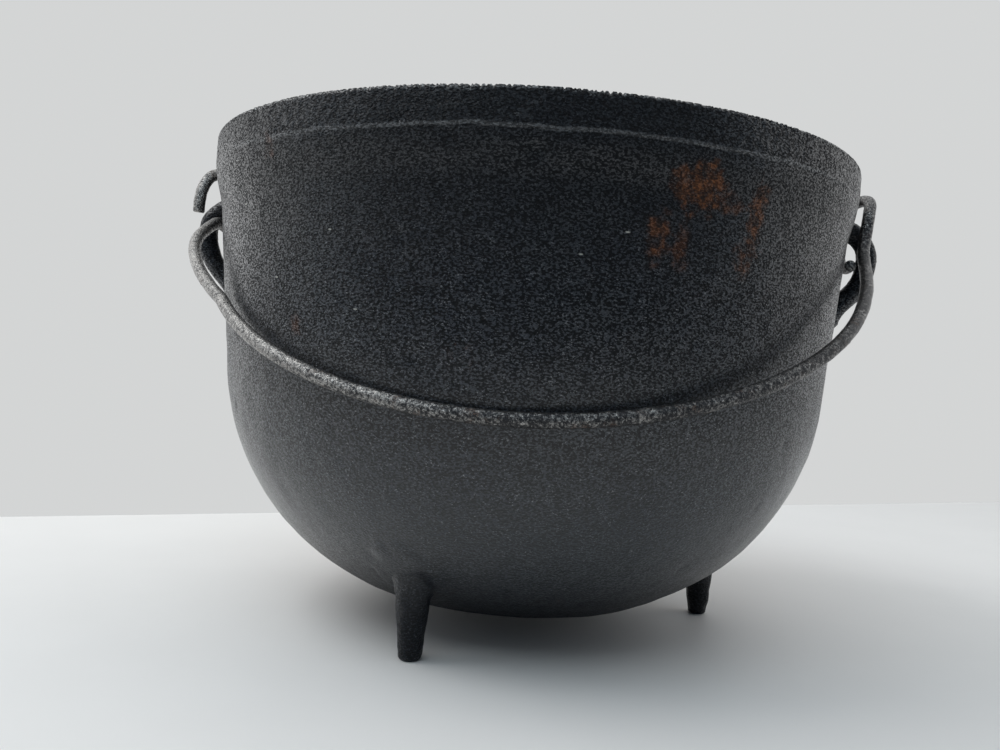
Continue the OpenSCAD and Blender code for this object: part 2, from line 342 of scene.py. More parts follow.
def under_relief(p):
    """Leg pads and the pouring ridge, on the underside of the bowl.

    A pad's height falls with the distance from its middle. The ridge is a bar along X,
    made of a mask across it times a mask along it."""
    pads = 0
    for x, y in LEG_AXES:
        out = np.array([x, y]) / LEG_CIRCLE
        along = (p[..., 0] - x) * out[0] + (p[..., 1] - y) * out[1] - PAD_SHIFT
        across = (p[..., 1] - y) * out[0] - (p[..., 0] - x) * out[1]
        gap = np.hypot(along / PAD_STRETCH, across) + 0.8 * MM * waves(p, 9 * MM, 6)
        pads = pads + PAD_H * (1 - smooth_step(gap, PAD_FLAT, PAD_R))
    wobble = 0.25 * MM * waves(p, 7 * MM, 7)
    ridge = 1 - smooth_step(np.abs(p[..., 1] + wobble), GATE_W * 0.22, GATE_W * 0.5)
    ridge = ridge * (1 - smooth_step(np.abs(p[..., 0]), GATE_LEN / 2 - GATE_W, GATE_LEN / 2))
    return pads + (GATE_H - SLACK) * ridge * (0.85 + 0.15 * waves(p, 5 * MM, 8))


# %% [markdown]
# ## The shell
#
# The shell is one closed skin: up the outside to the foot of the rim band, across the
# wall's thickness, and down the inside. The rows lie closest where the raised line runs.
# Inside, where the sand core was smoother and years of cooking wore it, it is calmer.

# %% Pot shell
AROUND, ROW = 540, 1.9 * MM                 # places round the pot, and height of a wall's row


def shell_points():
    """Grid of the shell: outer profile moved by its relief, then the inner profile."""
    angle = np.linspace(-math.pi, math.pi, AROUND, endpoint=False)[None, :]
    belly_top = BELLY_C[1] - BELLY_R * math.sin(TAPER)
    plain = np.arange(belly_top + ROW, BAND_Z - 5 * MM, ROW)
    heights = np.concatenate([plain, np.linspace(BAND_Z - 4.5 * MM, BAND_Z, 6)])
    line, normal = pot_line(0, 1.0 * MM, 1.75 * MM, heights)
    r, z = line[:, :1] + 0 * angle, line[:, 1:] + 0 * angle
    angle = angle + 0 * r
    flat = on_ring(r, z, angle)
    lift = cast_relief(r, z, angle) + under_relief(flat)
    lift -= pits(r, z, angle)
    lift += rim_flare(z) * math.cos(TAPER)
    lift *= smooth_step(r, 0, 2 * MM)
    lift[:3] = lift[3].mean()               # the innermost rings stay level
    outer = on_ring(r + lift * normal[:, :1], z + lift * normal[:, 1:], angle)
    inner_heights = np.linspace(BAND_Z, belly_top, 8, endpoint=False)[::-1]
    inner_line, inner_normal = pot_line(WALL_T, 6 * MM, 7 * MM, inner_heights)
    ri, zi = inner_line[::-1, :1] + 0 * angle[:1], inner_line[::-1, 1:] + 0 * angle[:1]
    ai = angle[:1] + 0 * ri
    calm = 0.25 * MM * waves(on_ring(ri, zi, ai), 40 * MM, 9) * smooth_step(BAND_Z - zi, 0, 6 * MM)
    calm *= smooth_step(ri, 0, 6 * MM)
    n = inner_normal[::-1]
    inner = on_ring(ri + calm * n[:, :1], zi + calm * n[:, 1:], ai)
    seam = len(outer) - 1
    outer[seam, :, 2] = BAND_Z
    return np.concatenate([outer, inner]), seam


points, seam_ring = shell_points()
shell = skin("pot_shell_skin", points, sharp_rings=(seam_ring, seam_ring + 1))
seam_points = points[seam_ring]


# %% [markdown]
# ## The rim band
#
# The rim was never machined: where the mould's two halves met, the iron broke away in
# small chips. The top face and its two rounded edges are a profile of short steps, and
# the chips sink the top and bite into the outer edge by an amount that closes on itself
# round the ring.

# %% Rim band with a chipped edge
FINER = 3                        # places of the band for each place of the shell
EDGE_R = 1.3 * MM                # rounding of the two edges of the top


def rim_points():
    """Grid of the band: outer face, outer edge, top, inner edge, inner face, underside.

    The outer face starts from the same relief as the shell, so the two share their seam.
    A chip is the part of a ring wave above a threshold; it lowers the top edge."""
    turns = FINER * AROUND
    angle = np.linspace(-math.pi, math.pi, turns, endpoint=False)[None, :]
    r_in_top = wall_radius(RIM_Z, WALL_T)
    close_rows = np.linspace(BAND_Z, BAND_Z + 4.2 * MM, 12)
    z_side = np.concatenate([close_rows, np.linspace(BAND_Z + 4.8 * MM, RIM_Z - EDGE_R, 11)])
    r_side = wall_radius(z_side) + rim_flare(z_side)
    turn_a = np.linspace(0, math.pi / 2, 7)[1:]
    r_edge = RIM_R - BAND_SLACK - EDGE_R + EDGE_R * np.cos(turn_a)
    z_edge = RIM_Z - EDGE_R + EDGE_R * np.sin(turn_a)
    r_top = np.linspace(r_edge[-1], r_in_top + EDGE_R, 5)[1:]
    z_top = np.full(4, RIM_Z)
    turn_b = np.linspace(math.pi / 2, math.pi, 6)[1:]
    r_back = r_in_top + EDGE_R + EDGE_R * np.cos(turn_b)
    z_back = RIM_Z - EDGE_R + EDGE_R * np.sin(turn_b)
    z_inner = np.linspace(RIM_Z - 2.5 * MM, BAND_Z, 7)
    r_inner = wall_radius(z_inner, WALL_T)
    r = np.concatenate([r_side, r_edge, r_top, r_back, r_inner])[:, None] + 0 * angle
    z = np.concatenate([z_side, z_edge, z_top, z_back, z_inner])[:, None] + 0 * angle
    angle = angle + 0 * r
    outside = np.arange(len(r))[:, None] < len(r_side) + 3
    relief = np.where(outside, cast_relief(r, z, angle) - pits(r, z, angle), 0)
    plain = on_ring(r, z, angle)
    fine = waves(plain, 2.6 * MM, 11, 40) + 0.6 * waves(plain, 1.5 * MM, 12, 40)
    ragged = 0.55 * ring_waves(angle, 6, 30, 14)
    chip = np.clip(ring_waves(angle, 130, 480, 13, 90) + ragged - 0.25, 0, 1.3)
    nick = np.clip(ring_waves(angle, 350, 780, 15, 90) + 0.5 * ragged - 0.15, 0, 1.2)
    upper = smooth_step(z, RIM_Z - 2.6 * MM, RIM_Z - 0.2 * MM)
    outer_half = smooth_step(r, r_in_top + 1.2 * MM, RIM_R - 1.5 * MM)
    sink = upper * (0.45 * chip * (0.35 + 0.65 * outer_half) + 0.45 * nick + 0.08 * fine) * MM
    bite = upper * outer_half * (0.45 * chip + 0.25 * nick) * MM
    grain = 0.07 * MM * fine * smooth_step(z, BAND_Z + 0.5 * MM, BAND_Z + 3 * MM)
    r = np.minimum(r + relief - bite + grain, RIM_R)
    z = np.minimum(z - np.clip(sink, 0, None), RIM_Z)
    ring = on_ring(r, z, angle)
    step_on = np.roll(seam_points, -1, axis=0) - seam_points
    for part in range(FINER):
        ring[0, part::FINER] = seam_points + step_on * part / FINER
    ring[-1, :, 2] = BAND_Z
    return np.concatenate([ring, ring[:1]]), (0, len(ring) - 1, len(ring))


points, hard_rings = rim_points()
rim = skin("rim_band_skin", points, sharp_rings=hard_rings)


# %% [markdown]
# ## Legs
#
# A leg is a tapered peg, cast in one with the bowl, so it runs into it with a fillet. A
# ring of the leg's grid is placed by its gap below the bowl: as the gap shrinks to
# nothing, the fillet opens outwards. The bowl rises to the outside, so each place round
# the leg finds its own height.

# %% Three legs
FOOT_R, FOOT_ROUND = 3.9 * MM, 1.4 * MM
LEG_SLOPE = 0.75 * math.tan(math.radians(8))        # how much wider a leg gets with its height
FILLET, FILLET_SHARE = 3.4 * MM, 0.9
LID_EDGE, LID_MIDDLE = 1.2 * MM, 1.6 * MM           # how far a leg's top lies inside the bowl


def leg_points(turn_angle, seed):
    """Grid of one leg from the middle of its foot to inside the bowl.

    Side: radius = foot radius + height above the foot's rounding * slope + fillet, where
    the fillet is a share of a quarter round of size FILLET at this gap below the bowl, and
    height = bowl's height there - gap. They depend on each other, so a few passes are
    made."""
    around = np.linspace(0, 2 * math.pi, 96, endpoint=False)[None, :]

    def bowl_at(rho):
        x = LEG_CIRCLE + rho * np.cos(around)
        y = rho * np.sin(around)
        return bowl_height(np.hypot(x, y))

    sole = np.linspace(0, FOOT_R - FOOT_ROUND, 5)[:, None] + 0 * around
    sole_z = 0 * sole
    bend = np.linspace(0, math.pi / 2, 6)[1:, None]
    edge = FOOT_R - FOOT_ROUND + FOOT_ROUND * np.sin(bend) + 0 * around
    edge_z = FOOT_ROUND * (1 - np.cos(bend)) + 0 * around
    w = np.linspace(0, 1, 34)[1:, None]
    start = bowl_at(FOOT_R + 0 * around) - FOOT_ROUND
    gap = (1 - w) ** 1.15 * start
    rho = FOOT_R + 0 * gap
    for _ in range(6):
        height = bowl_at(rho) - gap
        near = np.clip(1 - gap / FILLET, 0, 1)
        flare = FILLET * (1 - np.sqrt(1 - near**2 + 1e-9)) * FILLET_SHARE
        rho = FOOT_R + (height - FOOT_ROUND) * LEG_SLOPE + flare
    height = bowl_at(rho) - gap
    inside = rho[-1:] + 0.5 * MM
    lids = [(inside, LID_EDGE), (inside * 0.5, LID_MIDDLE), (0 * inside, LID_MIDDLE)]
    r = np.concatenate([sole, edge, rho] + [lid for lid, _ in lids])
    z = np.concatenate([sole_z, edge_z, height] + [bowl_at(lid) + sunk for lid, sunk in lids])
    z[-1] = z[-1].mean()
    c, s = math.cos(turn_angle), math.sin(turn_angle)
    x, y = LEG_CIRCLE + r * np.cos(around), r * np.sin(around)
    p = np.stack([x * c - y * s, x * s + y * c, z], axis=-1)
    rough = 0.22 * MM * waves(p, 7 * MM, 20 + seed)
    rough += 0.08 * MM * waves(p, 2.6 * MM, 30 + seed, 40)
    rough *= smooth_step(z, 0, 2 * MM) * smooth_step(r, 1.5 * MM, 3 * MM)
    facing = around + turn_angle
    push = np.stack([np.cos(facing), np.sin(facing), 0 * facing], axis=-1)
    return p + rough[..., None] * push


leg_skins = {}
for k, leg_name in enumerate(leg_names):
    leg_skins[leg_name] = skin(leg_name + "_skin", leg_points(LEG_TURNS[k], k))


# %% [markdown]
# ## A round bar carried along a path
#
# Ears and bail are bars that follow a curve. A circle is carried along the path, and at
# each step its own frame is turned only as the path turns, which is the frame that does
# not twist. The bar's thickness may change along the way, and the ends close to a point.

# %% Sweep a round section along a path
def headings(path):
    """Unit tangents by central differences."""
    d = np.gradient(path, axis=0)
    return d / np.linalg.norm(d, axis=1, keepdims=True)


def lengths(path):
    """Distance along the path from its start, at each point."""
    return np.concatenate([[0], np.cumsum(np.linalg.norm(np.diff(path, axis=0), axis=1))])


def resample(path, step):
    """The path with points at an even distance of about step."""
    s = lengths(path)
    at = np.linspace(0, s[-1], max(4, round(s[-1] / step)))
    return np.column_stack([np.interp(at, s, path[:, k]) for k in range(3)])


def bar(path, radius, sides, side_hint):
    """Grid of a bar: point = path + radius * (cos(a) * side + sin(a) * other side).

    radius is one value for each point of the path and, if wanted, for each angle. The
    side vector is the one before it less its part along the new heading."""
    way = headings(path)
    side = np.zeros_like(path)
    v = np.array(side_hint, float)
    for i, h in enumerate(way):
        v = v - (v @ h) * h
        v /= np.linalg.norm(v)
        side[i] = v
    other = np.cross(way, side)
    a = np.linspace(0, 2 * math.pi, sides, endpoint=False)
    radius = np.broadcast_to(np.asarray(radius, float).reshape(len(path), -1), (len(path), sides))
    ring = np.cos(a)[None, :, None] * side[:, None] + np.sin(a)[None, :, None] * other[:, None]
    return path[:, None] + radius[..., None] * ring, ring


def close_ends(points, path):
    """Adds a ring of no width at each end, so that the skin closes there."""
    first = np.broadcast_to(path[0], points[:1].shape)
    last = np.broadcast_to(path[-1], points[:1].shape)
    return np.concatenate([first, points, last])


# %% [markdown]
# ## Ears
#
# Each ear is a cast loop in one plane: a tight turn out of the wall at the top, a wider
# turn below it, and a brace that runs back to the wall and thickens there. The right one
# sits a little higher than the left, as the moulder set it. Near the wall the bar swells
# in a fillet that depends on its distance from the wall. Both ends of the bar stop inside
# the wall's thickness, so that nothing of them comes out in the pot.

# %% Two ears
BAR_R = 4.1 * MM
ROOT_R = 5.5 * MM
EYE_R, BRACE_R = 12 * MM, 22 * MM
EAR_OUT, EAR_Z = 137.86 * MM, 151 * MM
EAR_LIFT = 2.6 * MM
EAR_FILLET, FILLET_START, FILLET_LEN = 1.6 * MM, 1.8 * MM, 4 * MM
END_DEPTH = 0.6 * WALL_T         # how deep in the wall a bar's ends may lie
BRACE_SWEEP, EYE_START = math.radians(46), math.radians(110)


def ear_path(lift):
    """Centre line in the X-Z plane: upper arc, lower arc, straight brace to the wall."""
    a = np.linspace(EYE_START, 0, 40)
    upper = np.column_stack([EAR_OUT - EYE_R + EYE_R * np.cos(a), EAR_Z + EYE_R * np.sin(a)])
    b = np.linspace(0, BRACE_SWEEP, 30)[1:]
    lower = np.column_stack([EAR_OUT - BRACE_R + BRACE_R * np.cos(b), EAR_Z - BRACE_R * np.sin(b)])
    reach = (lower[-1, 0] - wall_radius(EAR_Z, WALL_T)) / math.sin(BRACE_SWEEP)
    t = np.linspace(0, reach, 20)[1:, None]
    brace = lower[-1] + t * np.array([-math.sin(BRACE_SWEEP), -math.cos(BRACE_SWEEP)])
    flat = np.vstack([upper, lower, brace])
    return np.column_stack([flat[:, 0], 0 * flat[:, 0], flat[:, 1] + lift]), reach


def ear_points(lift, mirrored, seed):
    """Bar along the ear's path, thicker down the brace and flared next to the wall.

    The flare is part of a quarter round that starts at FILLET_START from the wall. No
    point lies higher than the ceiling, a little above the band's foot, or deeper in the
    wall than END_DEPTH."""
    path, reach = ear_path(lift)
    path = resample(path, 0.8 * MM)
    s = lengths(path)
    thick = BAR_R + (ROOT_R - BAR_R) * smooth_step(s, s[-1] - reach, s[-1])
    gap = path[:, 0] - wall_radius(path[:, 2]) - BAR_R
    near = np.clip((FILLET_START - gap) / FILLET_LEN, 0, 1)
    thick = thick + EAR_FILLET * (1 - np.sqrt(1 - 0.9 * near**2))
    points, ring = bar(path, thick, 40, (0, 1, 0))
    rough = 0.20 * MM * waves(points, 9 * MM, 40 + seed)
    rough += 0.07 * MM * waves(points, 2.6 * MM, 44 + seed, 40)
    points = points + (rough - 0.12 * MM)[..., None] * ring
    ceiling = BAND_Z + 3.5 * MM
    points[..., 2] = np.minimum(points[..., 2], ceiling)
    points = close_ends(points, path)
    in_wall = wall_radius(points[..., 2], END_DEPTH)
    points[..., 0] = np.maximum(points[..., 0], in_wall)
    if mirrored:
        points = points[:, ::-1] * np.array([-1, 1, 1])
    return points


ear_right = skin("ear_right_skin", ear_points(EAR_LIFT, False, 0))
ear_left = skin("ear_left_skin", ear_points(-EAR_LIFT, True, 1))


# %% [markdown]
# ## The bail
#
# The bail is one length of wire, bent by hand. Its arch is part of a circle, and each
# hook is a smooth curve through a few points round the ear's upper limb. The points are
# given in the bail's own plane, as a maker would lay the wire on a bench, and the whole
# wire is then tipped down until it hangs against the belly.

# %% The bail's bends
WIRE_R = 2.38 * MM
HOOK_X = 130.18                              # middle of a hook, mm from the pot's axis
ARCH_SHIFT, ARCH_R, ARCH_C = 2.8, 125.0, 18.0
LEFT_END, RIGHT_END = 80.0, 60.0             # where the arch hands over to the two arms
LEFT_R, LEFT_UP, RIGHT_R, RIGHT_DOWN = 11.2, 3.0, 13.8, 1.2
AXIS_Z, AXIS_SLOPE, HANG = 162.195 * MM, math.radians(1.14418), math.radians(31.9975)
down = 270 - math.degrees(HANG)


def hook_point(x, r, a, up):
    """Point of a hook in mm: radius r and angle a, in degrees, round a middle that lies up
    above the axis."""
    turn_a, turn_0 = math.radians(down + a), math.radians(down)
    return [x, r * math.cos(turn_a) - up * math.cos(turn_0),
            r * math.sin(turn_a) - up * math.sin(turn_0)]


def left_point(x, out, a):
    """Point of the left hook, x mm outward along the axis and out mm off its round."""
    return hook_point(HOOK_X + x, LEFT_R + out, a, LEFT_UP)


def right_point(x, out, a):
    """Point of the right hook, which turns the other way round than the left one."""
    return hook_point(HOOK_X + x, RIGHT_R + out, -a, -RIGHT_DOWN)


left_hook = (
    [[HOOK_X - 17, -70.5, 0], [HOOK_X - 8.2, -57, 0], [HOOK_X - 0.8, -42, 0],
     [HOOK_X + 1.8, -32, 0.1], [HOOK_X + 1.9, -23.5, 0.1], left_point(0.9, 2, -40)]
    + [left_point(0, 0, a) for a in range(-12, 124, 27)]
    + [left_point(0.7, 0, 150), left_point(2.0, 0, 174), left_point(3.5, 0.2, 199),
       left_point(4.8, 0.8, 226), left_point(6.0, 1.4, 252), left_point(6.8, 2, 276),
       left_point(7.4, 3.2, 298)])
right_hook = (
    [[HOOK_X - 6.6, -51, 0], [HOOK_X - 4, -41, 0], [HOOK_X - 2.1, -31, 0.3],
     [HOOK_X - 0.7, -23, 2], right_point(1.2, 3, 82), right_point(2.8, 1.4, 110),
     right_point(4.9, 0.4, 140), right_point(5.2, 0, 163), right_point(4, 0, 185),
     right_point(1.8, 0, 204)]
    + [right_point(0, 0, a) for a in range(224, 381, 26)])


def arch_line(steps=160):
    """Part of a circle from the left arm's end to the right arm's end."""
    start, end = (math.acos((reach - ARCH_C) / ARCH_R) for reach in (LEFT_END, RIGHT_END))
    a = np.linspace(-start, end, steps)
    return np.column_stack([ARCH_SHIFT + ARCH_R * np.sin(a), -ARCH_C - ARCH_R * np.cos(a), 0 * a])


def smooth_curve(points, lead, parts=24):
    """Catmull-Rom curve through the points; lead only gives the direction at the start.

    Between b and c, with neighbours a and d, the curve is half of
    2b + (c - a) t + (2a - 5b + 4c - d) t^2 + (3b - a - 3c + d) t^3."""
    p = np.vstack([lead, points, points[-1]])
    a, b, c, d = p[:-3, None], p[1:-2, None], p[2:-1, None], p[3:, None]
    t = np.linspace(0, 1, parts, endpoint=False)[None, :, None]
    curve = 0.5 * (2 * b + (c - a) * t + (2 * a - 5 * b + 4 * c - d) * t**2
                   + (3 * b - a - 3 * c + d) * t**3)
    return np.vstack([curve.reshape(-1, 3), points[-1]])


def bail_path():
    """Left hook reversed, arch, right hook, in metres and hung from the ears."""
    flip = np.array([-1, 1, 1])
    arch = arch_line()
    coarse = arch_line(41)
    right = smooth_curve(np.vstack([coarse[-1], right_hook]), coarse[-2])
    left = smooth_curve(np.vstack([coarse[0] * flip, left_hook]), coarse[1] * flip)
    flat = np.vstack([left[:0:-1] * flip, arch, right[1:]]) * MM
    hung = flat @ turn(0, HANG).T @ turn(1, -AXIS_SLOPE).T
    return hung + np.array([0, 0, AXIS_Z])


# %% [markdown]
# ## The wire's skin
#
# Drawn wire is smooth, but this one has lain about for years: it is pitted, and its two
# ends were cut off square with a chisel. The radius changes a little along the wire, and
# two short rings at each end take the sharpness off the cut.

# %% Bail
WIRE_SLACK = 0.03 * MM                       # how far the skin lies inside the solid's face
CUT_BEVEL, CUT_LEN = 0.45 * MM, 0.6 * MM     # chamfer of a cut end
side_hint = (0.13, 0.41, 0.9)                # any direction that isn't the wire's first one


def bail_points():
    """Bar along the bail's path with pits, and a small chamfer at the two cut ends."""
    path = resample(bail_path(), 0.55 * MM)
    s = lengths(path)
    from_end = np.minimum(s, s[-1] - s)
    radius = WIRE_R - WIRE_SLACK - CUT_BEVEL * np.clip(1 - from_end / CUT_LEN, 0, 1) ** 2
    points, ring = bar(path, radius, 28, side_hint)
    rough = 0.045 * MM * waves(points, 11 * MM, 50) + 0.035 * MM * waves(points, 1.9 * MM, 51, 40)
    dents = np.clip(waves(points, 3.4 * MM, 52, 40) - 0.75, 0, 1)
    points = points + (rough - 0.10 * MM * dents - 0.02 * MM)[..., None] * ring
    ends = np.round(path[[0, -1]], 4).tolist()
    print("bail: wire", round(s[-1] / MM), "mm long, ends", ends)
    return close_ends(points, path)


bail = skin("bail_skin", bail_points(), sharp_rings=(1,))


# %% [markdown]
# ## Shader maths as expressions
#
# Node graphs are hard to read as code. A small class wraps a socket, so that sums and
# products of values read like arithmetic and each adds its Math node. One method makes
# any other node from its type, its settings and the values or links of its inputs. It
# serves materials and the world alike, and a finish adds the patterns that iron needs.

# %% Sockets that can be added and multiplied
class Value:
    """A number that varies over the surface: the output socket of some node."""

    def __init__(self, graph, socket):
        self.graph, self.socket = graph, socket

    def _math(self, operation, *others, clamp=False):
        sockets = {i: o for i, o in enumerate((self, *others))}
        return self.graph.node("Math", {"operation": operation, "use_clamp": clamp}, sockets)

    def __add__(self, other):
        return self._math("ADD", other)

    def __sub__(self, other):
        return self._math("SUBTRACT", other)

    def __rsub__(self, other):
        return self._math("MULTIPLY", -1.0) + other

    def __mul__(self, other):
        return self._math("MULTIPLY", other)

    def __neg__(self):
        return self._math("MULTIPLY", -1.0)

    __radd__, __rmul__ = __add__, __mul__

    def clamped(self):
        """Held between 0 and 1."""
        return self._math("ADD", 0.0, clamp=True)

    def largest(self, other):
        return self._math("MAXIMUM", other)

    def ramp(self, start, end, low=0.0, high=1.0):
        """Smoothly from low at start to high at end."""
        settings = {"interpolation_type": "SMOOTHSTEP"}
        sockets = {"Value": self, "From Min": start, "From Max": end, "To Min": low, "To Max": high}
        return self.graph.node("MapRange", settings, sockets)


# %% A graph of nodes
MIX_SHARE, MIX_FIRST, MIX_SECOND, MIX_RESULT = 0, 6, 7, 2    # a Mix node's sockets for colours


class Graph:
    """The nodes of a material or of the world."""

    def __init__(self, tree):
        self.tree = tree

    def feed(self, socket, value):
        """Links a value to an input socket, or sets the socket to a plain number."""
        if isinstance(value, Value):
            self.tree.links.new(value.socket, socket)
        else:
            socket.default_value = value

    def node(self, kind, settings, sockets, output=0):
        """Adds a node, sets it, feeds its inputs with values or links, gives one output."""
        made = self.tree.nodes.new("ShaderNode" + kind)
        for key, value in settings.items():
            setattr(made, key, value)
        for key, value in sockets.items():
            self.feed(made.inputs[key], value)
        return Value(self, made.outputs[output])

    def blend(self, share, first, second):
        """Colour that goes from first to second as share goes from 0 to 1."""
        first, second = (c if isinstance(c, Value) else (*c, 1.0) for c in (first, second))
        sockets = {MIX_SHARE: share, MIX_FIRST: first, MIX_SECOND: second}
        return self.node("Mix", {"data_type": "RGBA"}, sockets, MIX_RESULT)

    def axis(self, place, letter):
        """One coordinate, X, Y or Z, of a place."""
        return self.node("SeparateXYZ", {}, {"Vector": place}, letter)


# %% A finish and its patterns
class Finish(Graph):
    """A material's nodes, with helpers for the patterns that iron needs."""

    def __init__(self, name):
        self.material = bpy.data.materials.new(name)
        self.material.use_nodes = True
        super().__init__(self.material.node_tree)
        self.shader = self.tree.nodes["Principled BSDF"]
        self.place = self.node("TexCoord", {}, {}, "Object")

    def noise(self, pitch, detail=2.0, rough=0.5, place=None):
        """Noise whose blobs are about pitch metres across, 0 to 1 around 0.5."""
        place = place or self.place
        sockets = {"Vector": place, "Scale": 1 / pitch, "Detail": detail, "Roughness": rough}
        return self.node("TexNoise", {}, sockets)

    def cells(self, pitch, place):
        """Distance to the nearest of points strewn pitch apart, in units of the pitch."""
        sockets = {"Vector": place, "Scale": 1 / pitch, "Randomness": 1.0}
        return self.node("TexVoronoi", {"feature": "F1"}, sockets)

    def near(self, spot, size, stretch):
        """Distance from a spot, in units of size, measured along stretched axes."""
        offset = self.node("VectorMath", {"operation": "SUBTRACT"}, {0: self.place, 1: spot})
        scale = tuple(1 / (size * k) for k in stretch)
        offset = self.node("VectorMath", {"operation": "MULTIPLY"}, {0: offset, 1: scale})
        return self.node("VectorMath", {"operation": "LENGTH"}, {0: offset}, "Value")

    def bump(self, height, depth):
        """Bump whose full height is depth metres."""
        return self.node("Bump", {}, {"Height": height, "Distance": depth, "Strength": 1.0})

    def wear(self, **inputs):
        """Feeds the shader's own sockets by name, with _ for a space."""
        for key, value in inputs.items():
            self.feed(self.shader.inputs[key.replace("_", " ")], value)
        return self.material


# %% [markdown]
# ## Where the rust is
#
# The camera's own rays say where a mark of the photograph lies on the wall: each ray is
# cut with the leaning cone of the wall. That places the rust by a few named pixels, and
# it stays on the iron when it is seen from any side.

# %% A pixel of the photograph, carried to the wall
def pixel_ray(u, v):
    """Direction in space of the camera's ray through pixel (u, v)."""
    return view_rows.T @ np.array([(u - IMAGE_W / 2) / FOCAL_PX, 1.0, (IMAGE_H / 2 - v) / FOCAL_PX])


def on_wall(u, v):
    """Nearest point of the wall's cone on the ray through pixel (u, v).

    With P = C + t d, the cone r = wall_radius(z) is a quadratic in t; the smaller root is
    the side that faces the camera."""
    c, d, k = camera_place, pixel_ray(u, v), math.tan(TAPER)
    r0 = WALL_R - (RIM_Z - c[2]) * k
    qa = d[0] ** 2 + d[1] ** 2 - (k * d[2]) ** 2
    qb = 2 * (c[0] * d[0] + c[1] * d[1] - r0 * k * d[2])
    qc = c[0] ** 2 + c[1] ** 2 - r0**2
    t = (-qb - math.sqrt(max(qb * qb - 4 * qa * qc, 0))) / (2 * qa)
    return c + t * d


rust_marks = {                    # pixel, size in mm, how much taller than wide, strength
    "large patch": ((702, 187), 8.0, 1.2, 1.0),
    "large patch, core": ((697, 193), 4.2, 1.2, 1.0),
    "patch's left edge": ((683, 178), 4.0, 1.3, 0.6),
    "link": ((731, 205), 5.0, 0.8, 0.45),
    "streak, top": ((763, 197), 3.4, 1.5, 0.7),
    "streak": ((755, 222), 4.2, 3.0, 0.8),
    "streak, foot": ((746, 256), 5.0, 1.5, 0.6),
    "lower patch": ((660, 236), 5.0, 1.6, 0.75),
    "lower patch, right": ((681, 248), 3.2, 2.4, 0.5),
    "small, left": ((295, 325), 3.2, 1.2, 0.35),
    "small, top left": ((272, 146), 3.4, 1.6, 0.3),
}
rust_spots = [(on_wall(*pixel), size * MM, tall, force)
              for pixel, size, tall, force in rust_marks.values()]
print("rust spots (mm):", [list(np.round(spot / MM).astype(int)) for spot, *_ in rust_spots])


# %% [markdown]
# ## The sand's grain
#
# What shows on black iron is the print of the moulding sand: grains about a millimetre
# apart and wider than tall, which catch the light in specks between dark hollows. Cells
# give the round tops. A noise of nearly the same pitch opens gaps between them, and a
# finer noise puts a tooth on both. Near the rim, the grain is made a little duller as painted shade.

# %% Grain, tooth and mottle
GRAIN, GAPS, TOOTH, MOTTLE = 1.25 * MM, 0.92 * MM, 0.55 * MM, 2.6 * MM      # pitches
FLATTENED = 1.6                  # how much wider than tall the grain is


def sand_grain(f, height_up):
    """Four values of the grain: its lit share, its tooth, its mottle and its height.

    The lit share is gaps times tooth plus tops less a little, held between 0 and 1."""
    flat = f.node("Mapping", {}, {"Vector": f.place, "Scale": (1.0, 1.0, FLATTENED)})
    tops = f.cells(GRAIN, flat).ramp(0.08, 0.62, 1.0, 0.0)
    gaps = f.noise(GAPS, 1.5, 0.55, flat)
    tooth = f.noise(TOOTH, 2.0, 0.6, flat)
    mottle = f.noise(MOTTLE, 3.0, 0.6)
    # Painted shade: the grain's lit share is lowered towards the rim.
    painted_rim_shade = height_up.ramp(125 * MM, 178 * MM, 1.0, 0.76)
    catching = gaps.ramp(0.475, 0.550) * tooth.ramp(0.40, 0.56, 0.55, 1.30)
    lit = (catching + tops * 0.34 - 0.22).clamped() * painted_rim_shade
    relief = tops * 0.50 + gaps * 0.50 + tooth * 0.45 + mottle * 0.25
    return lit, tooth, mottle, relief


# %% [markdown]
# ## Rust
#
# Rust eats outwards from a spot, so its edge is ragged. A noise makes the distance from
# each marked spot uneven before it becomes a mask, and where two masks meet the larger
# one wins. Two more noises strew a little rust over the whole pot.

# %% Share of rust
RUST_EDGE, STRAY_PATCH, STRAY_FLECK = 4.5 * MM, 28 * MM, 3.5 * MM           # pitches


def rust_cover(f, lit, mottle):
    """Share of rust, 0 to 1: the largest of all marks, thinner where the grain is dark."""
    eaten = (f.noise(RUST_EDGE, 4.0, 0.65) - 0.5) * 2.4
    stray = f.noise(STRAY_PATCH, 2.0, 0.5).ramp(0.66, 0.78)
    rust = stray * f.noise(STRAY_FLECK, 3.0, 0.6).ramp(0.52, 0.7) * 0.30
    for spot, size, tall, force in rust_spots:
        distance = f.near(tuple(spot), size, (1, 1, tall)) + eaten
        rust = rust.largest(distance.ramp(0.45, 1.10, force, 0.0))
    return (rust * mottle.ramp(0.30, 0.55, 0.35, 1.0) * lit.ramp(0.0, 0.7, 0.4, 1.0)).clamped()


# %% [markdown]
# ## Pale marks
#
# Three things are paler than the iron. A painted highlight lies along the raised line, at the front
# of the pot. Bare crumbs show where the rim's top edge is chipped. A few specks sit on the
# wall, each at its own pixel of the photograph.

# %% Painted highlight on the raised line, crumbs and specks
# The first pale tone serves dust, painted glints on the grain and the painted highlight along the
# raised line.
DUST_AND_HIGHLIGHT, CRUMB, SPECK = (0.27, 0.275, 0.28), (0.33, 0.33, 0.32), (0.6, 0.6, 0.55)
SPECK_SIZE, SPECK_SHAPE = 0.45 * MM, (2.2, 2.2, 0.8)        # wider than tall
speck_pixels = [(255, 165), (246, 204), (329, 229), (276, 277), (355, 309), (628, 232), (581, 254)]


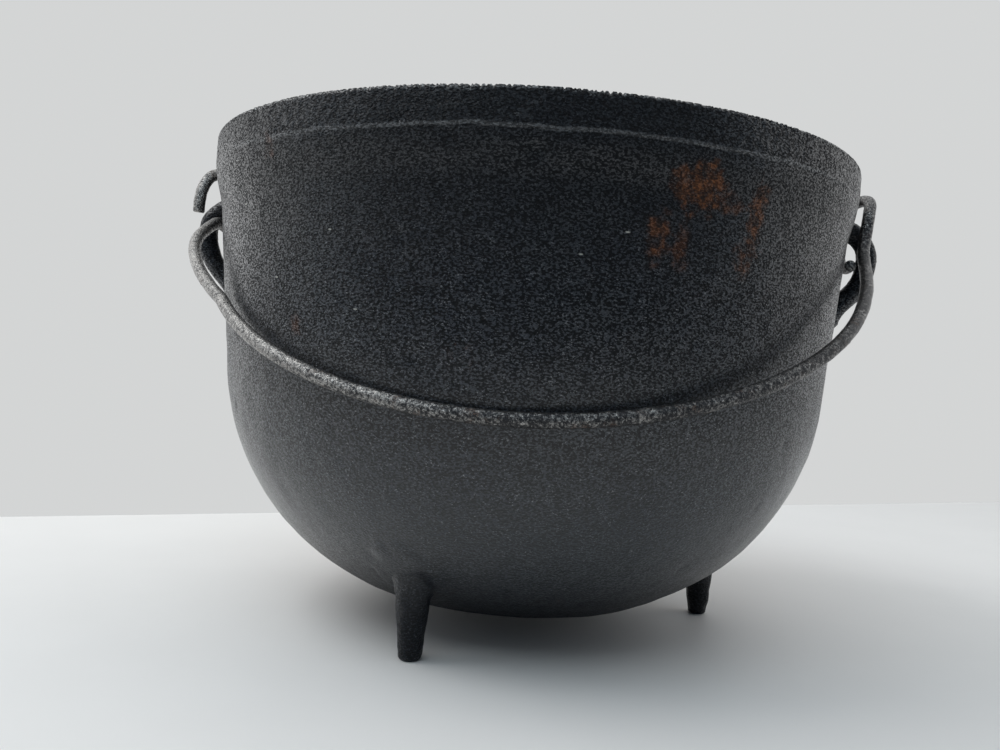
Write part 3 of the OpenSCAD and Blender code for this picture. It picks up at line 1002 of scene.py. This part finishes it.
def pale_marks(f, colour, lit, ahead, height_up):
    """The colour with the line, the crumbs and the specks laid over it."""
    # Painted highlight: a pale line along the raised line, at the front where the grain is lit.
    off_line = height_up - LINE_Z + (f.noise(11 * MM, 3.0) - 0.5) * (2.2 * MM)
    line = off_line.largest(-off_line).ramp(0.30 * MM, 0.90 * MM, 0.40, 0.0)
    line = line * ahead.ramp(-100 * MM, -50 * MM, 1.0, 0.0) * lit.ramp(0.0, 0.5, 0.4, 1.0)
    colour = f.blend(line, colour, DUST_AND_HIGHLIGHT)
    crumbs = f.noise(0.9 * MM, 1.0, 0.5).ramp(0.55, 0.65)
    crumbs = crumbs * height_up.ramp(RIM_Z - 1.3 * MM, RIM_Z - 0.2 * MM)
    colour = f.blend(crumbs, colour, CRUMB)
    for pixel in speck_pixels:
        speck = f.near(tuple(on_wall(*pixel)), SPECK_SIZE, SPECK_SHAPE).ramp(0.5, 0.95, 0.7, 0.0)
        colour = f.blend(speck, colour, SPECK)
    return colour


# %% [markdown]
# ## Old black cast iron
#
# The iron is nearly black, with a cold tint and a thin dry film of old oil. The hollows
# of the grain are darker than its tops, and that is painted shade. Near the rim and on the
# underside the whole grain is darker too, which is also painted shade. The film is a clear coat
# that lies on the tops and is missing in the hollows, so the coat makes specks of light,
# and pale specks of dust and painted glints on the lit tops add to them. It is thicker
# on the belly and runs out on the underside and where there is rust.

# %% Cast-iron finish
# The third colour is painted shade for the hollows of the grain.
BLACK, GREY_BLACK, PAINTED_HOLLOW_SHADE = (0.009, 0.016, 0.030), (0.024, 0.032, 0.043), (0.0008, 0.0016, 0.0032)
RUST_DARK, RUST_BRIGHT = (0.055, 0.025, 0.014), (0.270, 0.100, 0.038)
GRAIN_DEPTH = 1.5 * MM           # height of the bump that draws the grain


def cast_iron():
    """Grain, oil film, dust, painted glints, painted shade and rust on near-black iron."""
    f = Finish("old_cast_iron")
    ahead, height_up = f.axis(f.place, "Y"), f.axis(f.place, "Z")
    lit, tooth, mottle, relief = sand_grain(f, height_up)
    coarse = height_up.ramp(30 * MM, 110 * MM, 0.50, 1.0)
    # Painted shade: the grain's colour is darker towards the bottom and near the rim.
    shade = height_up.ramp(8 * MM, 65 * MM, 0.40, 1.0) * height_up.ramp(110 * MM, 165 * MM, 1.0, 0.36)
    lit_tone = lit * shade
    cloud = f.noise(45 * MM, 3.0, 0.55)
    colour = f.blend(cloud.ramp(0.35, 0.7), BLACK, GREY_BLACK)
    # Painted shade: the hollows of the grain get a near-black colour, darker than the tops.
    colour = f.blend(lit_tone, PAINTED_HOLLOW_SHADE, colour)
    # Pale specks on the lit tops of the grain: partly dust, partly painted glints.
    dust_and_glints = tooth.ramp(0.58, 0.66) * mottle.ramp(0.42, 0.58, 0.15, 1.0) * lit_tone * 0.8
    colour = f.blend(dust_and_glints.clamped(), colour, DUST_AND_HIGHLIGHT)
    colour = pale_marks(f, colour, lit, ahead, height_up)
    rust = rust_cover(f, lit, mottle)
    rust_colour = f.blend(f.noise(2.8 * MM, 3.0, 0.6).ramp(0.4, 0.62), RUST_DARK, RUST_BRIGHT)
    colour = f.blend(rust, colour, rust_colour)
    rough = (mottle.ramp(0.3, 0.7, 0.42, 0.54) + rust * 0.30).clamped()
    on_belly = height_up.ramp(80 * MM, 125 * MM, 0.28, 0.0)
    film = (lit - 0.36) * coarse * 1.25 + 1.42 - coarse * 0.93 - rust * 0.8 + on_belly
    film = (film * height_up.ramp(8 * MM, 56 * MM, 0.12, 1.0)).clamped()
    normal = f.bump(relief * coarse, GRAIN_DEPTH)
    return f.wear(Base_Color=colour, Roughness=rough, Normal=normal, Coat_Weight=film,
                  Specular_IOR_Level=0.14, Coat_Roughness=0.30, Coat_IOR=1.60)


# %% [markdown]
# ## Old wire
#
# The wire is steel that has gone dark. Handling rubbed it brighter, and towards the left arm,
# where the light falls, it carries a painted highlight as well. Rust sits in its pits. Thin
# scale breaks up the highlight that runs along it: where the scale has rubbed off, the
# metal is paler and smoother.

# %% Wire finish
SCALE_TONE, WORN_TONE, WIRE_RUST = (0.030, 0.030, 0.032), (0.34, 0.33, 0.315), (0.085, 0.045, 0.026)
WIRE_DEPTH = 0.45 * MM           # height of the bump that draws the scale


def old_wire():
    """Dark steel with rubbed scale, a painted highlight towards the left arm, and a little rust."""
    f = Finish("old_bail_wire")
    scale = f.noise(1.0 * MM, 3.0, 0.65)
    fine = f.noise(0.4 * MM, 2.0, 0.6)
    patch = f.noise(12 * MM, 2.0, 0.5)
    # Painted highlight: the wire is made paler and smoother towards the left arm, where the light
    # falls.
    painted_left_highlight = f.axis(f.place, "X").ramp(-120 * MM, 40 * MM, 0.075, -0.09)
    wear_and_sheen = (scale + (fine - 0.5) * 0.40 + (patch - 0.5) * 0.25 + painted_left_highlight).ramp(0.36, 0.68)
    colour = f.blend(wear_and_sheen, SCALE_TONE, WORN_TONE)
    rust = (f.noise(5 * MM, 4.0, 0.6).ramp(0.56, 0.68) * fine.ramp(0.40, 0.60) * 0.7).clamped()
    colour = f.blend(rust, colour, WIRE_RUST)
    rough = (wear_and_sheen.ramp(0.0, 1.0, 0.32, 0.20) + rust * 0.25).clamped()
    metal = (0.90 - rust * 0.6).clamped()
    normal = f.bump(scale * 0.8 + fine * 0.6, WIRE_DEPTH)
    return f.wear(Base_Color=colour, Roughness=rough, Metallic=metal, Normal=normal)


# %% [markdown]
# ## Dress the solids
#
# Each skin stands for one solid and rides with that solid's body, so the bail's skin
# swings with the bail. The solids get the same two finishes as their skins.

# %% Give each piece its finish, its body and the node that it stands for
iron, wire = cast_iron(), old_wire()
fittings = [
    (shell, "pot_shell", iron, "cast_iron", "cauldron"),
    (rim, "rim_band", iron, "cast_iron", "cauldron"),
    (ear_right, "ear_right", iron, "cast_iron", "cauldron"),
    (ear_left, "ear_left", iron, "cast_iron", "cauldron"),
    (bail, "bail", wire, "bail_wire", "bail"),
] + [(leg_skins[n], n, iron, "cast_iron", "cauldron") for n in leg_names]
for piece, node, finish, slot, body in fittings:
    piece.data.materials.append(finish)
    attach(piece, body)
    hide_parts(node)
for node_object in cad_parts.values():
    node_object.data.materials.clear()
    node_object.data.materials.append(wire if node_object.name == "bail" else iron)
print("dressed:", [node for _, node, *_ in fittings])


# %% [markdown]
# ## Floor and backdrop
#
# The pot stands on a pale board in front of a pale wall. A real wall would hide the pot
# from behind, so there is only a large floor. Past the line where the photograph's wall
# starts, and far from the pot on every side, the camera sees the wall's plain tone
# instead, as it does in the world beyond. To the iron, the board fades into a dark room
# in front, so that the middle of the pot stays as dark as the real one.

# %% Pale floor with the wall's line
FLOOR_TONE, WALL_TONE = (0.80, 0.782, 0.757), (0.655, 0.665, 0.665)
FRONT_TONE = (0.035, 0.055, 0.085)          # what the iron sees of the room in front
FRONT_NEAR, FRONT_FAR = -0.45, -1.2         # Y between which the board fades into that room
FAR_START, FAR_END = 0.80, 1.50             # distances at which the board fades to the wall
FLOOR_R, FLOOR_DROP = 6.0, 0.02 * MM
line_left, line_right = (0, 517), (1000, 502)       # pixels on the line where the wall starts


def on_floor(u, v):
    """Where the ray through pixel (u, v) meets the floor."""
    d = pixel_ray(u, v)
    return camera_place - camera_place[2] / d[2] * d


def stage_floor():
    """A disc just below the feet, with a finish that differs by place and by who looks."""
    angle = np.linspace(-math.pi, math.pi, 64, endpoint=False)[None, :]
    floor = skin("floor", on_ring(np.array([[0], [FLOOR_R]]), -FLOOR_DROP, angle))
    f = Finish("pale_floor")
    a, b = on_floor(*line_left), on_floor(*line_right)
    along = (b - a) / np.linalg.norm(b - a)
    beyond = (-along[1], along[0], 0.0)
    print("wall's line: from", np.round(a, 3), "to", np.round(b, 3))
    offset = f.node("VectorMath", {"operation": "SUBTRACT"}, {0: f.place, 1: tuple(a)})
    past = f.node("VectorMath", {"operation": "DOT_PRODUCT"}, {0: offset, 1: beyond}, "Value")
    level = f.node("VectorMath", {"operation": "MULTIPLY"}, {0: f.place, 1: (1.0, 1.0, 0.0)})
    away = f.node("VectorMath", {"operation": "LENGTH"}, {0: level}, "Value")
    bare = past.ramp(-0.6 * MM, 1.0 * MM).largest(away.ramp(FAR_START, FAR_END))
    seen = f.node("LightPath", {}, {}, "Is Camera Ray")
    cloud = f.noise(50 * MM, 3.0, 0.5)
    pale = f.blend(cloud.ramp(0.3, 0.7), FLOOR_TONE, tuple(c * 0.985 for c in FLOOR_TONE))
    in_front = f.axis(f.place, "Y").ramp(FRONT_FAR, FRONT_NEAR, 1.0, 0.0)
    tone = f.blend(in_front * (1.0 - seen), pale, FRONT_TONE)
    f.wear(Base_Color=tone, Roughness=0.6, Specular_IOR_Level=0.3)
    wall = f.node("Emission", {}, {"Color": (*WALL_TONE, 1.0), "Strength": 1.0})
    board = Value(f, f.shader.outputs[0])
    mixed = f.node("MixShader", {}, {0: bare * seen, 1: board, 2: wall})
    f.feed(f.tree.nodes["Material Output"].inputs["Surface"], mixed)
    floor.data.materials.append(f.material)
    floor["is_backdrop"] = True


stage_floor()


# %% [markdown]
# ## Light
#
# The light is that of a plain room: one large soft panel high up on the left, a cooler
# one above the front, and a faint one low on the left. The world is pale and bright
# behind the pot, as a white wall would make it, and darker and bluer in front. The dark
# front leaves the middle of the pot dark, and the bright sides draw its edges, which is
# how black iron shows its form.

# %% World
FRONT_LIGHT, BACK_LIGHT = (0.35, 0.66, 1.0), (1.0, 0.995, 0.985)


def world_light():
    """Pale world: the backdrop's tone to the camera, a soft gradient to everything else."""
    world = bpy.data.worlds.new("room")
    world.use_nodes = True
    bpy.context.scene.world = world
    g = Graph(world.node_tree)
    way = g.node("TexCoord", {}, {}, "Generated")
    fade = g.axis(way, "Y").ramp(-0.60, 0.12, 0.07, 0.95)
    tint = g.blend(fade, FRONT_LIGHT, BACK_LIGHT)
    room = g.node("Background", {}, {"Color": tint, "Strength": fade})
    backdrop = g.node("Background", {}, {"Color": (*WALL_TONE, 1.0), "Strength": 1.0})
    seen = g.node("LightPath", {}, {}, "Is Camera Ray")
    mixed = g.node("MixShader", {}, {0: seen, 1: room, 2: backdrop})
    g.feed(g.tree.nodes["World Output"].inputs["Surface"], mixed)


world_light()


# %% Lamps
POT_MIDDLE = (0.0, 0.0, 0.09)


def panel(name, place, size, watts, colour=(1.0, 1.0, 1.0)):
    """A soft rectangular lamp at place, size (width, height), that faces the pot."""
    lamp = bpy.data.lights.new(name, "AREA")
    lamp.shape = "RECTANGLE"
    lamp.size, lamp.size_y = size
    lamp.energy, lamp.color = watts, colour
    made = bpy.data.objects.new(name, lamp)
    bpy.context.scene.collection.objects.link(made)
    back = np.array(place) - np.array(POT_MIDDLE)
    back /= np.linalg.norm(back)
    across = np.cross([0, 0, 1.0], back)
    across /= np.linalg.norm(across)
    made.matrix_world = stood(across, np.cross(back, across), back, place)
    print(name, "at", place, "with", watts, "watts")


panel("window_left", (-0.95, -0.12, 1.20), size=(0.9, 0.9), watts=8.2)
panel("ceiling", (-0.25, -0.85, 1.30), size=(1.2, 0.9), watts=7.6, colour=(0.82, 0.93, 1.0))
panel("low_left", (-1.1, 0.55, 0.2), size=(0.7, 0.4), watts=0.5)

scene = bpy.context.scene
scene.view_settings.view_transform = "Standard"


# %% [markdown]
# ## Last measure
#
# The dressed part must stay in the box of its solids, so both boxes are written out and
# compared before the script ends.

# %% Write the two boxes and finish
dressed_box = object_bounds()
for word, corner, solid in zip(("lowest", "highest"), dressed_box, cad_box):
    print(word, "corner off by", [round((a - b) / MM, 2) for a, b in zip(corner, solid)], "mm")
